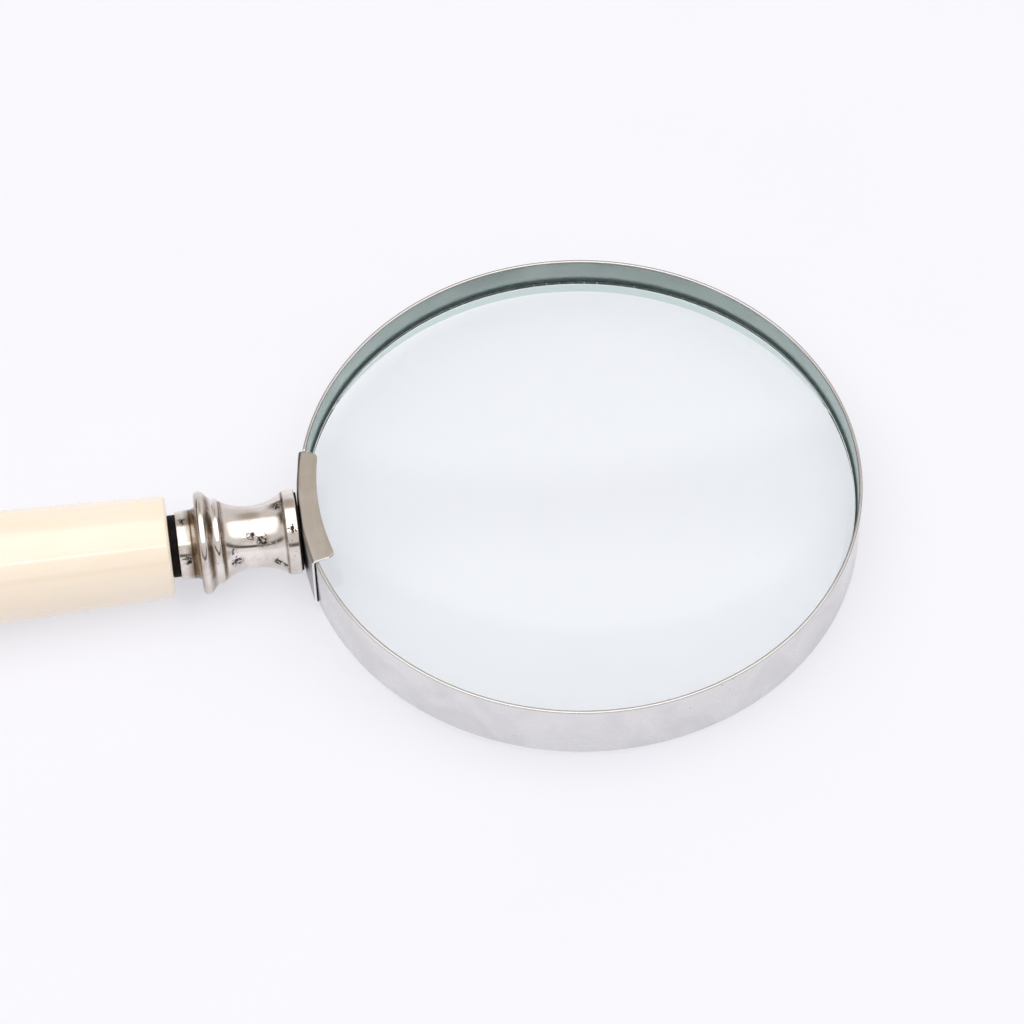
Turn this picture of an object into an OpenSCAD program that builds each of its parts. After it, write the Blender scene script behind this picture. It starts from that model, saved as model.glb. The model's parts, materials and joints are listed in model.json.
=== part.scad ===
// Hand magnifying glass: a biconvex lens in a split steel hoop, a folded clip that joins the hoop's
// ends, a turned neck screwed to the clip, and a domed handle screwed to the neck.
// It lies as it does on a table: on the far lower edge of the hoop and the fattest part of the handle.
// Each module is drawn about the hoop's centre, lens axis up and handle towards -X, then lay_down()
// tilts and lifts it so that the table is z = 0.

/* [Hoop] */
// Outer diameter of the hoop
hoop_d = 102; // [96:1:108]
// Thickness of the hoop's steel strip
strip_t = 0.65; // [0.5:0.05:0.8]
// Height of the hoop's steel strip
strip_h = 12.5; // [12:0.5:14]
// Gap between the strip's two ends, where the hoop screw passes
strip_gap = 5; // [4.6:0.2:6]
// Chamfer along the strip's edges
strip_chamfer = 0.12; // [0.05:0.01:0.2]
// Depth that the strip's edges are filed down under the clip's lips
lip_seat = 0.25; // [0.1:0.05:0.3]

/* [Lens] */
// Thickness of the lens at its edge
lens_edge_t = 2; // [1.6:0.1:2.4]
// Thickness of the lens at its centre
lens_centre_t = 11.2; // [8:0.1:11.4]
// Distance from the lens axis to the flat ground on its edge for the screw's head
lens_flat = 49.1; // [48.5:0.1:49.3]
// Thickness of the packing strip between the lens and the hoop
packing_t = 0.35; // [0.25:0.05:0.4]
// Height of the packing strip
packing_h = 2.6; // [2.4:0.1:3]

/* [Clip] */
// Thickness of the clip's sheet
clip_t = 0.4; // [0.3:0.05:0.6]
// Length of the clip across the handle
clip_span = 25; // [20:1:30]
// Radius of the curved inner edge of the clip's lips, about the lens axis
lip_edge = 47.6; // [46.5:0.1:48.5]
// Radius of the clip's outer bends
clip_bend = 0.7; // [0.6:0.05:0.8]
// Radius of the lips' inner corners
lip_corner = 1.3; // [0.5:0.1:1.6]

/* [Hoop screw] */
// Diameter of the hoop screw
screw_d = 4; // [3.5:0.5:4]
// Diameter of its flat head
screw_head_d = 8.4; // [8:0.2:9]
// Thickness of its flat head
screw_head_t = 0.85; // [0.7:0.05:0.9]
// Length of its thread in the neck
screw_grip = 8.4; // [6:0.7:9.1]

/* [Neck] */
// Thickness of the black washer between the clip and the neck
neck_washer_t = 0.4; // [0.3:0.1:0.8]
// Diameter of the black washer between the clip and the neck
neck_washer_d = 14.2; // [12:0.2:14.6]
// Diameter of the collar by the hoop
collar_d = 15.5; // [14.8:0.1:16]
// Width of the collar by the hoop
collar_w = 2.15; // [1.8:0.05:2.4]
// Diameter at the bottom of the waist
waist_d = 11.3; // [10.6:0.1:11.8]
// Radius of the waist's hollow curve
waist_r = 10.5; // [9.5:0.5:12]
// Diameter over the small bead
bead_d = 15.6; // [15:0.1:15.8]
// Diameter over the large bead
flange_d = 18.9; // [18.4:0.1:19.4]
// Diameter of the collar by the handle
tail_d = 12.5; // [12:0.1:12.8]
// Length of the neck from end to end
neck_len = 21.75; // [21.5:0.05:22.5]

/* [Handle] */
// Thickness of the black washer between the neck and the handle
spacer_t = 1.4; // [1:0.1:2]
// Diameter of the black washer between the neck and the handle
spacer_d = 11.3; // [10.5:0.1:11.8]
// Length of the handle
grip_len = 115; // [100:1:130]
// Diameter of the handle at the neck
grip_front_d = 18.65; // [17:0.05:19]
// Diameter of the handle at its fattest
grip_belly_d = 23.2; // [22:0.1:25]
// Length of the handle's straight taper
grip_taper_len = 60; // [50:1:65]
// Length of the handle's domed end
grip_dome_len = 21; // [15:1:24]
// Bevel around the handle's front face
grip_bevel = 0.7; // [0.3:0.1:1]
// Diameter of the threaded rod between the neck and the handle
rod_d = 6; // [5:1:6]
// Length of the rod's thread in the neck
rod_in_neck = 8; // [6:0.5:8]
// Length of the rod's thread in the handle's bush
rod_grip = 12; // [8:1:14]
// Outer diameter of the handle's brass bush
bush_d = 9; // [8:0.5:10]

/* [Hidden] */
$fn = 180;

// Clearances: turning fits, the screw's way past what it clamps, and thin gaps between laid parts
turn_gap = 0.05;
pass_gap = 0.15;
touch_gap = 0.02;
// A length that is longer than any cut needs to be
over = 1;
// How far short of a full rounding the lips' corners stop, which leaves a faint edge at each end of the arc
corner_blunt = 0.05;

hoop_r = hoop_d / 2;
strip_r = hoop_r - strip_t;
lens_r = strip_r - packing_t;
half_h = strip_h / 2;
gap_angle = 2 * asin(strip_gap / 2 / hoop_r);

clip_in_r = hoop_r + touch_gap;
clip_out_r = clip_in_r + clip_t;
clip_angle = 2 * asin(clip_span / 2 / clip_out_r);
lip_z = half_h - lip_seat + touch_gap;
clip_top = lip_z + clip_t;

// The packing stops either side of the lens's ground flat
packing_gap_angle = 2 * acos(lens_flat / lens_r) + 3;

// Sagitta and radius of each lens face
lens_sag = (lens_centre_t - lens_edge_t) / 2;
lens_face_r = (lens_r * lens_r + lens_sag * lens_sag) / (2 * lens_sag);

// The screw's head bears on the strip's two ends, whose inner face is nearest the lens at the head's rim
head_r = screw_head_d / 2;
head_seat = sqrt(strip_r * strip_r - head_r * head_r) - touch_gap;
slot_w = 1;
slot_depth = 0.35;

// Distances from the lens axis along the handle's axis
neck_start = clip_out_r + neck_washer_t;
neck_end = neck_start + neck_len;
grip_start = neck_end + spacer_t;
screw_end = neck_start + screw_grip;
rod_start = neck_end - rod_in_neck;
rod_end = grip_start + rod_grip;
bore_rest = 2;

// Outline of the neck, measured from its end by the hoop
edge_chamfer = 0.2;
waist_start = collar_w + 0.1;
waist_mid = 8.2;
bead_at = 14.55;
bead_tube_r = 0.75;
flange_at = 17.15;
flange_tube_r = 0.95;
cove_end = 19.2;
tail_r = tail_d / 2;
flange_tube_at = flange_d / 2 - flange_tube_r;
cove_r = cove_end - flange_at - flange_tube_r / 2;

// Outline of the handle: the radius at a distance s from its front face
front_r = grip_front_d / 2;
belly_r = grip_belly_d / 2;
ease_len = grip_len - grip_taper_len - grip_dome_len;
taper = (belly_r - front_r) / (grip_taper_len + ease_len / 2);
function eased(u) = belly_r - taper * ease_len / 2 * pow(1 - u, 2);
function grip_r(s) =
    s < grip_taper_len ? front_r + taper * s :
    s < grip_taper_len + ease_len ? eased((s - grip_taper_len) / ease_len) :
    belly_r * sqrt(max(0, 1 - pow((s - grip_len + grip_dome_len) / grip_dome_len, 2)));
ease_steps = 8;
dome_steps = 18;
ease_points = [for (i = [0 : ease_steps]) grip_taper_len + ease_len * i / ease_steps];
dome_points = [for (i = [1 : dome_steps - 1]) grip_len - grip_dome_len * (1 - sin(90 * i / dome_steps))];
grip_side = [for (s = concat(ease_points, dome_points)) [grip_r(s), s]];

// How the whole object lies: tilted until the handle's belly and the hoop's far edge share the table
foot_r = hoop_r - strip_chamfer;
tilt = max([for (p = grip_side) atan2(p[0] - half_h, foot_r + grip_start + p[1])]);
lift = foot_r * sin(tilt) + half_h * cos(tilt);
far_x = hoop_r * cos(tilt) + (half_h - strip_chamfer) * sin(tilt);
butt_x = max([for (p = grip_side) (grip_start + p[1]) * cos(tilt) + p[0] * sin(tilt)]);
shift = (butt_x - far_x) / 2;

module lay_down() {
    translate([shift, 0, lift])
        rotate([0, tilt, 0])
            children();
}

// Turns a solid drawn along +Z so that it runs from the lens axis towards the handle
module along_handle(distance) {
    rotate([0, -90, 0])
        translate([0, 0, distance])
            children();
}

// A ring swept round the lens axis, with an opening centred on the handle
module split_ring(open_angle) {
    rotate([0, 0, -180 + open_angle / 2])
        rotate_extrude(angle = 360 - open_angle)
            children();
}

module lens_half_outline() {
    face_centre = lens_face_r - lens_centre_t / 2;
    intersection() {
        translate([0, -face_centre])
            circle(r = lens_face_r, $fn = 1440);
        translate([0, face_centre])
            circle(r = lens_face_r, $fn = 1440);
        translate([0, -lens_centre_t])
            square([lens_r, 2 * lens_centre_t]);
    }
}

module lens() {
    color([0.9, 0.97, 0.98, 0.4])
        lay_down()
            difference() {
                rotate_extrude()
                    lens_half_outline();
                translate([-lens_flat - 2 * over, -lens_r, -lens_edge_t])
                    cube([2 * over, 2 * lens_r, 2 * lens_edge_t]);
            }
}

module lens_packing() {
    color([0.12, 0.2, 0.2])
        lay_down()
            split_ring(packing_gap_angle)
                translate([lens_r, -packing_h / 2])
                    square([packing_t, packing_h]);
}

// The strip's section: a thin upright rectangle with its four edges broken
module strip_outline(height) {
    c = strip_chamfer;
    h = height / 2;
    polygon([
        [strip_r + c, -h], [hoop_r - c, -h], [hoop_r, -h + c], [hoop_r, h - c],
        [hoop_r - c, h], [strip_r + c, h], [strip_r, h - c], [strip_r, -h + c]
    ]);
}

module hoop_band() {
    seat_angle = clip_angle + 0.6;
    lap_angle = 1;
    end_angle = (seat_angle - gap_angle) / 2 + lap_angle;
    color([0.82, 0.82, 0.81])
        lay_down()
            union() {
                split_ring(seat_angle)
                    strip_outline(strip_h);
                for (side = [-1, 1])
                    rotate([0, 0, 180 + side * (gap_angle + end_angle) / 2 - end_angle / 2])
                        rotate_extrude(angle = end_angle)
                            strip_outline(strip_h - 2 * lip_seat);
            }
}

// The clip's section: an upright wall with a bend and a lip at each end
module clip_outline() {
    reach = clip_out_r - lip_edge;
    inner_bend = clip_bend - clip_t;
    difference() {
        union() {
            translate([clip_out_r - reach, -clip_top])
                square([reach - clip_bend, 2 * clip_top]);
            translate([clip_out_r - clip_bend, -clip_top + clip_bend])
                square([clip_bend, 2 * (clip_top - clip_bend)]);
            for (z = [-1, 1])
                translate([clip_out_r - clip_bend, z * (clip_top - clip_bend)])
                    circle(r = clip_bend);
        }
        translate([clip_in_r - inner_bend - reach - over, -lip_z])
            square([reach + over, 2 * lip_z]);
        translate([clip_in_r - inner_bend - over, -lip_z + inner_bend])
            square([inner_bend + over, 2 * (lip_z - inner_bend)]);
        for (z = [-1, 1])
            translate([clip_in_r - inner_bend, z * (lip_z - inner_bend)])
                circle(r = inner_bend);
    }
}

// The lips' two inner corners, seen from above: what is cut away to leave each one round
module lip_corners() {
    side_angle = clip_angle / 2;
    centre_in = lip_corner - corner_blunt;
    centre_r = lip_edge + centre_in;
    centre_angle = side_angle - asin(centre_in / centre_r);
    cut_r = lip_edge - over;
    reach = lip_corner + over;
    for (side = [-1, 1])
        difference() {
            polygon([
                [-centre_r * cos(centre_angle), side * centre_r * sin(centre_angle)],
                [-cut_r * cos(centre_angle), side * cut_r * sin(centre_angle)],
                [
                    -cut_r * cos(centre_angle) + reach * sin(side_angle),
                    side * (cut_r * sin(centre_angle) + reach * cos(side_angle))
                ],
                [
                    -centre_r * cos(centre_angle) + reach * sin(side_angle),
                    side * (centre_r * sin(centre_angle) + reach * cos(side_angle))
                ]
            ]);
            translate([-centre_r * cos(centre_angle), side * centre_r * sin(centre_angle)])
                circle(r = lip_corner);
        }
}

module saddle_clip() {
    color([0.7, 0.66, 0.6])
        lay_down()
            difference() {
                rotate([0, 0, 180 - clip_angle / 2])
                    rotate_extrude(angle = clip_angle)
                        clip_outline();
                translate([0, 0, -strip_h])
                    linear_extrude(2 * strip_h)
                        lip_corners();
                along_handle(hoop_r - over)
                    cylinder(r = screw_d / 2 + pass_gap, h = clip_t + 2 * over);
            }
}

module hoop_screw() {
    color([0.72, 0.7, 0.66])
        lay_down()
            difference() {
                union() {
                    along_handle(head_seat - screw_head_t)
                        cylinder(d = screw_head_d, h = screw_head_t);
                    along_handle(head_seat - screw_head_t / 2)
                        cylinder(d = screw_d, h = screw_end - head_seat + screw_head_t / 2);
                }
                along_handle(head_seat - screw_head_t - over)
                    translate([-slot_w / 2, -screw_head_d, 0])
                        cube([slot_w, 2 * screw_head_d, slot_depth + over]);
            }
}

module neck_washer() {
    color([0.05, 0.05, 0.05])
        lay_down()
            along_handle(clip_out_r + touch_gap)
                difference() {
                    cylinder(d = neck_washer_d, h = neck_washer_t - 2 * touch_gap);
                    translate([0, 0, -over])
                        cylinder(r = screw_d / 2 + turn_gap, h = neck_washer_t + 2 * over);
                }
}

// The neck's turned outline: two collars, a hollow waist, a small bead, a large bead and a cove
module neck_outline() {
    collar_r = collar_d / 2;
    difference() {
        union() {
            polygon([
                [0, 0], [collar_r - edge_chamfer, 0], [collar_r, edge_chamfer],
                [collar_r, collar_w - edge_chamfer], [collar_r - edge_chamfer, collar_w], [0, collar_w]
            ]);
            translate([0, waist_start - over])
                square([collar_r - edge_chamfer, bead_at - waist_start + over]);
            translate([bead_d / 2 - bead_tube_r, bead_at])
                circle(r = bead_tube_r);
            translate([0, bead_at])
                square([bead_d / 2 - bead_tube_r, cove_end - bead_at]);
            polygon([
                [0, bead_at], [bead_d / 2 - bead_tube_r / 2, bead_at + bead_tube_r],
                [flange_tube_at, flange_at - flange_tube_r],
                [flange_tube_at, flange_at + flange_tube_r], [tail_r, cove_end], [0, cove_end]
            ]);
            translate([flange_tube_at, flange_at])
                circle(r = flange_tube_r);
            polygon([
                [0, cove_end], [tail_r, cove_end], [tail_r, neck_len - edge_chamfer],
                [tail_r - edge_chamfer, neck_len], [0, neck_len]
            ]);
        }
        intersection() {
            translate([waist_d / 2 + waist_r, waist_mid])
                circle(r = waist_r);
            translate([0, waist_start])
                square([2 * waist_r, bead_at - bead_tube_r - waist_start]);
        }
        translate([tail_r + cove_r, cove_end])
            circle(r = cove_r);
    }
}

module neck() {
    color([0.8, 0.77, 0.74])
        lay_down()
            along_handle(neck_start)
                difference() {
                    rotate_extrude()
                        neck_outline();
                    translate([0, 0, -over])
                        cylinder(r = screw_d / 2 + turn_gap, h = screw_grip + bore_rest / 4 + over);
                    translate([0, 0, neck_len - rod_in_neck])
                        cylinder(d = rod_d, h = rod_in_neck + over);
                }
}

module handle_rod() {
    color([0.6, 0.6, 0.6])
        lay_down()
            along_handle(rod_start)
                cylinder(d = rod_d, h = rod_end - rod_start);
}

module spacer_washer() {
    color([0.04, 0.04, 0.04])
        lay_down()
            along_handle(neck_end + touch_gap)
                difference() {
                    cylinder(d = spacer_d, h = spacer_t - 2 * touch_gap);
                    translate([0, 0, -over])
                        cylinder(r = rod_d / 2 + turn_gap, h = spacer_t + 2 * over);
                }
}

module handle_bush() {
    color([0.78, 0.62, 0.3])
        lay_down()
            along_handle(grip_start)
                difference() {
                    cylinder(d = bush_d, h = rod_grip + 2 * bore_rest);
                    translate([0, 0, -over])
                        cylinder(r = rod_d / 2 + turn_gap, h = rod_grip + bore_rest + over);
                }
}

module handle_grip() {
    color([0.97, 0.92, 0.84])
        lay_down()
            along_handle(grip_start)
                difference() {
                    rotate_extrude()
                        polygon(concat(
                            [[0, 0], [front_r - grip_bevel, 0], [grip_r(grip_bevel), grip_bevel]],
                            grip_side,
                            [[0, grip_len]]
                        ));
                    translate([0, 0, -over])
                        cylinder(d = bush_d, h = rod_grip + 2 * bore_rest + over);
                }
}

lens();
lens_packing();
hoop_band();
saddle_clip();
hoop_screw();
neck_washer();
neck();
handle_rod();
spacer_washer();
handle_bush();
handle_grip();
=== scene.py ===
"""A hand magnifying glass lying on a pale table: lens, split hoop, folded clip, turned neck and domed handle.

Every piece is drawn in the hoop's own frame: the origin at the hoop's centre, the lens axis along +Z and the
handle towards -X. LAY then lays it down as the CAD model lies. Sizes named _MM are in millimetres; everything
else is in metres.
"""

import json
import math

import bmesh
import bpy
import numpy as np
from mathutils import Matrix, Vector


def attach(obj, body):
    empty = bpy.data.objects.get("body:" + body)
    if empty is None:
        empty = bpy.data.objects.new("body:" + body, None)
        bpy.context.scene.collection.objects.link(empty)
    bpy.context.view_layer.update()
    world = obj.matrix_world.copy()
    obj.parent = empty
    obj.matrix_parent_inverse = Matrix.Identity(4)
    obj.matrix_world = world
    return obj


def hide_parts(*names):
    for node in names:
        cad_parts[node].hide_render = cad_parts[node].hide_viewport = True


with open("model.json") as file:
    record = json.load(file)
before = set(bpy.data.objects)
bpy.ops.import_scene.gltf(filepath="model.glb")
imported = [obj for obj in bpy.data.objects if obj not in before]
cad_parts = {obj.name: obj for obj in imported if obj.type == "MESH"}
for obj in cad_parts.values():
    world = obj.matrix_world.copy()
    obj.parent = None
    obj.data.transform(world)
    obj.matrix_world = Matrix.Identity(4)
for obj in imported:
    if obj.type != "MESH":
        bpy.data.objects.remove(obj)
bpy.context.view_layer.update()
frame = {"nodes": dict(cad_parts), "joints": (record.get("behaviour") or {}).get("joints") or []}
MM = 0.001
WELD = 2e-7
SOFTEN_OVER_DEG = 40

# ---------------------------------------------------------------- measures taken from the frame


def lying_matrix(turn):
    """From the hoop's frame to the row's frame, from the joint that turns the neck about the handle."""
    handle_way = Vector(turn["axis"]).normalized()
    across = Vector((0, 1, 0))
    columns = (-handle_way, across, (-handle_way).cross(across))
    return Matrix.Translation(turn["pos_m"]) @ Matrix(columns).transposed().to_4x4()


LAY = lying_matrix(next(j for j in frame["joints"] if j["name"] == "neck_turn"))


def measured(node):
    """A CAD node's vertices in the hoop's frame, one row each."""
    vertices = frame["nodes"][node].data.vertices
    flat = np.empty(3 * len(vertices))
    vertices.foreach_get("co", flat)
    back = np.array(LAY.inverted())
    return flat.reshape(-1, 3) @ back[:3, :3].T + back[:3, 3]


class Turned:
    """What a node turned about the handle's axis measures: its start, end, length and radius."""

    def __init__(self, node):
        points = measured(node)
        self.start = -points[:, 0].max()
        self.end = -points[:, 0].min()
        self.length = self.end - self.start
        self.radius = np.hypot(points[:, 1], points[:, 2]).max()


class Round:
    """What a node made about the lens's axis measures: its inner and outer radius and half its height."""

    def __init__(self, node):
        points = measured(node)
        spread = np.hypot(points[:, 0], points[:, 1])
        self.inner = spread.min()
        self.outer = spread.max()
        self.half = np.abs(points[:, 2]).max()


BAND = Round("hoop_band")
GLASS = Round("lens")
CLIP = Round("saddle_clip")
NECK = Turned("neck")
GRIP = Turned("handle_grip")
ROD = Turned("handle_rod")
BUSH = Turned("handle_bush")
SCREW = Turned("hoop_screw")
NECK_WASHER = Turned("neck_washer")
SPACER = Turned("spacer_washer")

# ---------------------------------------------------------------- building meshes


def weld(mesh):
    """Joins the points that meet, drops the faces that this leaves empty, and turns every face outwards."""
    work = bmesh.new()
    work.from_mesh(mesh)
    bmesh.ops.remove_doubles(work, verts=work.verts, dist=WELD)
    bmesh.ops.dissolve_degenerate(work, edges=work.edges, dist=WELD)
    bmesh.ops.recalc_face_normals(work, faces=work.faces)
    work.to_mesh(mesh)
    work.free()


def settle(obj, sharp_deg=35):
    """Applies obj's modifiers to its mesh and shades it smooth except over sharp edges."""
    depsgraph = bpy.context.evaluated_depsgraph_get()
    if obj.modifiers:
        solid = bpy.data.meshes.new_from_object(obj.evaluated_get(depsgraph))
        obj.modifiers.clear()
        obj.data = solid
    obj.data.shade_smooth()
    obj.data.set_sharp_from_angle(angle=math.radians(sharp_deg))


def grid_piece(name, points, lengths, caps=False):
    """A piece from a grid of points, as rows by columns by 3. lengths holds the true length along the rows
    and the columns at each point, which makes the UV map. Edges that meet are welded, so a grid can close
    itself."""
    rows, columns = points.shape[:2]
    index = np.arange(rows * columns).reshape(rows, columns)
    quads = np.stack([index[:-1, :-1], index[1:, :-1], index[1:, 1:], index[:-1, 1:]], -1).reshape(-1, 4)
    faces = quads.tolist()
    if caps:
        half = (columns - 1) // 2
        for row in (0, rows - 1):
            ring = index[row, :-1].tolist()
            faces += [
                (ring[i], ring[i + 1], ring[-i - 2], ring[-i - 1]) for i in range(half - 1)
            ]
    mesh = bpy.data.meshes.new(name)
    mesh.from_pydata(points.reshape(-1, 3).tolist(), [], faces)
    uv = mesh.uv_layers.new(name="true_size")
    corner = np.empty(len(mesh.loops), int)
    mesh.loops.foreach_get("vertex_index", corner)
    uv.data.foreach_set("uv", lengths.reshape(-1, 2)[corner].ravel())
    weld(mesh)
    obj = bpy.data.objects.new(name, mesh)
    bpy.context.scene.collection.objects.link(obj)
    return obj


def revolve(name, rows, segments):
    """A piece turned about the handle's axis. Each row is (distance from the lens's axis, radius), and either
    may be a list with one value for each of segments + 1 angles. Angles run as the joints turn."""
    angle = np.linspace(0, 2 * math.pi, segments + 1)
    along = np.array([np.broadcast_to(row[0], angle.shape) for row in rows])
    radius = np.array([np.broadcast_to(row[1], angle.shape) for row in rows])
    points = np.stack([-along, radius * np.sin(angle), radius * np.cos(angle)], -1)
    steps = np.hypot(np.diff(along, axis=0), np.diff(radius, axis=0)).max(1)
    travelled = np.concatenate([[0], np.cumsum(steps)])
    around = angle * radius.max()
    lengths = np.stack(np.broadcast_arrays(around, travelled[:, None]), -1)
    return grid_piece(name, points, lengths)


def arc(centre, radius, start_deg, end_deg, steps):
    """Points on a circle, as (across, up) pairs."""
    return [
        (
            centre[0] + radius * math.cos(math.radians(start_deg + (end_deg - start_deg) * i / steps)),
            centre[1] + radius * math.sin(math.radians(start_deg + (end_deg - start_deg) * i / steps)),
        )
        for i in range(steps + 1)
    ]


def finish_piece(obj, body, slot, material, *nodes):
    """Lays a piece down, gives it its material, and makes it stand for its CAD nodes. slot is not used."""
    obj.data.transform(LAY)
    obj.data.materials.clear()
    obj.data.materials.append(material)
    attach(obj, body)
    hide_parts(*nodes)


def cut(obj, tool):
    """Takes the shape of tool out of obj."""
    modifier = obj.modifiers.new("cut", "BOOLEAN")
    modifier.operation = "DIFFERENCE"
    modifier.solver = "EXACT"
    modifier.object = tool
    bpy.context.view_layer.update()
    settle(obj)
    bpy.data.objects.remove(tool)


def soften_edges(obj, width):
    """Rounds off obj's sharp edges by width."""
    modifier = obj.modifiers.new("soften", "BEVEL")
    modifier.width = width
    modifier.segments = 2
    modifier.limit_method = "ANGLE"
    modifier.angle_limit = math.radians(SOFTEN_OVER_DEG)
    modifier.harden_normals = False
    settle(obj)


# ---------------------------------------------------------------- screw threads

THREAD_STEPS = ((0.06, 0), (0.44, 1), (0.56, 1), (0.94, 0))
THREAD_DEPTH = 0.61
THREAD_SEGMENTS = 144


def thread_rows(start, end, crest, pitch, open_by=0.0, lead=0.0):
    """Rows of a right-hand thread from start to end. Every row follows the helix, so the crests stay crisp.
    open_by widens it all round, for the thread inside a bore. lead is the depth of the bevel at its end."""
    angle = np.linspace(0, 2 * math.pi, THREAD_SEGMENTS + 1)
    depth = THREAD_DEPTH * pitch
    at = [THREAD_STEPS[-1][0] - 1] + [step[0] for step in THREAD_STEPS] + [THREAD_STEPS[0][0] + 1]
    height = [THREAD_STEPS[-1][1]] + [step[1] for step in THREAD_STEPS] + [THREAD_STEPS[0][1]]
    rows = []
    turns = math.ceil((end - start) / pitch) + 1
    for turn in range(-1, turns + 1):
        for fraction, _ in THREAD_STEPS:
            along = (np.floor(start / pitch) + turn + fraction + angle / (2 * math.pi)) * pitch
            along = np.clip(along, start, end)
            phase = np.mod(along / pitch - angle / (2 * math.pi) + 1e-9, 1.0)
            radius = crest - depth + depth * np.interp(phase, at, height) + open_by
            if lead:
                radius = np.minimum(radius, crest - lead + (end - along))
            rows.append((along, radius))
    return rows


# ---------------------------------------------------------------- node materials


class Look:
    """A node material under construction, with a Principled shader as its surface."""

    def __init__(self, name, **settings):
        self.material = bpy.data.materials.new(name)
        self.material.use_nodes = True
        self.tree = self.material.node_tree
        self.shader = self.tree.nodes["Principled BSDF"]
        for socket, value in settings.items():
            self.shader.inputs[socket.replace("_", " ")].default_value = value
        place = self.add("ShaderNodeTexCoord")
        stand = self.add("ShaderNodeMapping", vector_type="TEXTURE")
        self.join(place.outputs["Object"], stand.inputs["Vector"])
        stand.inputs["Location"].default_value = LAY.translation
        stand.inputs["Rotation"].default_value = LAY.to_euler()
        self.object = stand.outputs["Vector"]
        self.uv = place.outputs["UV"]

    def add(self, kind, **settings):
        node = self.tree.nodes.new(kind)
        for key, value in settings.items():
            setattr(node, key, value)
        return node

    def join(self, source, socket):
        """Links source, or sets a plain value, on a socket."""
        if isinstance(source, bpy.types.NodeSocket):
            self.tree.links.new(source, socket)
        else:
            socket.default_value = source

    def scaled(self, place, scale):
        node = self.add("ShaderNodeMapping")
        self.join(place, node.inputs["Vector"])
        node.inputs["Scale"].default_value = scale
        return node.outputs["Vector"]

    def noise(self, place, size, detail=4.0, rough=0.55, warp=0.0):
        """Noise whose blotches are about size metres across."""
        node = self.add("ShaderNodeTexNoise")
        self.join(place, node.inputs["Vector"])
        node.inputs["Scale"].default_value = 1 / size
        node.inputs["Detail"].default_value = detail
        node.inputs["Roughness"].default_value = rough
        node.inputs["Distortion"].default_value = warp
        return node.outputs["Fac"]

    def cells(self, place, size):
        """Distance to the nearest of many scattered points that are about size metres apart."""
        node = self.add("ShaderNodeTexVoronoi")
        self.join(place, node.inputs["Vector"])
        node.inputs["Scale"].default_value = 1 / size
        return node.outputs["Distance"]

    def band(self, value, low, high, bottom=0.0, top=1.0):
        """value from low..high, smoothed and moved to bottom..top, and held beyond its ends."""
        node = self.add("ShaderNodeMapRange", interpolation_type="SMOOTHSTEP")
        self.join(value, node.inputs["Value"])
        for name, number in (("From Min", low), ("From Max", high), ("To Min", bottom), ("To Max", top)):
            node.inputs[name].default_value = number
        return node.outputs["Result"]

    def calc(self, operation, first, second=0.0):
        node = self.add("ShaderNodeMath", operation=operation)
        for socket, value in zip(node.inputs, (first, second)):
            self.join(value, socket)
        return node.outputs["Value"]

    def near(self, place, point, full, end):
        """1 within full metres of a point, falling smoothly to 0 at end metres."""
        node = self.add("ShaderNodeVectorMath", operation="DISTANCE")
        self.join(place, node.inputs[0])
        node.inputs[1].default_value = point
        return self.band(node.outputs["Value"], full, end, 1.0, 0.0)

    def axis(self, place, name):
        node = self.add("ShaderNodeSeparateXYZ")
        self.join(place, node.inputs["Vector"])
        return node.outputs[name]

    def mix(self, share, first, second):
        """Colour first, with share of second over it. A colour is a socket or (r, g, b)."""
        node = self.add("ShaderNodeMix", data_type="RGBA")
        self.join(share, node.inputs["Factor"])
        for name, colour in (("A", first), ("B", second)):
            socket = next(s for s in node.inputs if s.name == name and s.type == "RGBA")
            self.join(colour if isinstance(colour, bpy.types.NodeSocket) else (*colour, 1.0), socket)
        return next(s for s in node.outputs if s.type == "RGBA")

    def beside(self, value, place, full, end):
        """1 where value is within full of place, falling smoothly to 0 at end away from it."""
        away = self.calc("ABSOLUTE", self.calc("SUBTRACT", value, place))
        return self.band(away, full, end, 1.0, 0.0)

    def set(self, **sources):
        for socket, source in sources.items():
            self.join(source, self.shader.inputs[socket.replace("_", " ")])

    def bump(self, height, depth, strength=1.0):
        """Bump whose height of 0..1 stands for depth metres."""
        node = self.add("ShaderNodeBump")
        self.join(height, node.inputs["Height"])
        node.inputs["Distance"].default_value = depth
        node.inputs["Strength"].default_value = strength
        self.tree.links.new(node.outputs["Normal"], self.shader.inputs["Normal"])


def glass_look():
    """Clear crown glass with a faint cool tint, a film of fingermarks and a little dust."""
    look = Look("crown_glass", Transmission_Weight=1.0, IOR=1.52, Metallic=0.0, Specular_IOR_Level=0.2)
    marks = look.band(look.noise(look.object, 0.019, 5, 0.6, 0.8), 0.5, 0.72)
    dust = look.band(look.cells(look.object, 0.0042), 0.02, 0.035, 1.0, 0.0)
    film = look.calc("MAXIMUM", look.calc("MULTIPLY", marks, 0.5), dust)
    look.set(
        Base_Color=look.mix(film, (0.978, 1.0, 1.0), (0.965, 1.0, 0.99)),
        Roughness=look.band(film, 0.0, 1.0, 0.0, 0.035),
    )
    through = look.add("ShaderNodeBsdfTransparent")
    through.inputs["Color"].default_value = (0.985, 1.0, 1.0, 1.0)
    ray = look.add("ShaderNodeLightPath")
    choose = look.add("ShaderNodeMixShader")
    output = look.tree.nodes["Material Output"]
    look.tree.links.new(ray.outputs["Is Shadow Ray"], choose.inputs["Fac"])
    look.tree.links.new(look.shader.outputs["BSDF"], choose.inputs[1])
    look.tree.links.new(through.outputs["BSDF"], choose.inputs[2])
    look.tree.links.new(choose.outputs["Shader"], output.inputs["Surface"])
    return look.material


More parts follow.
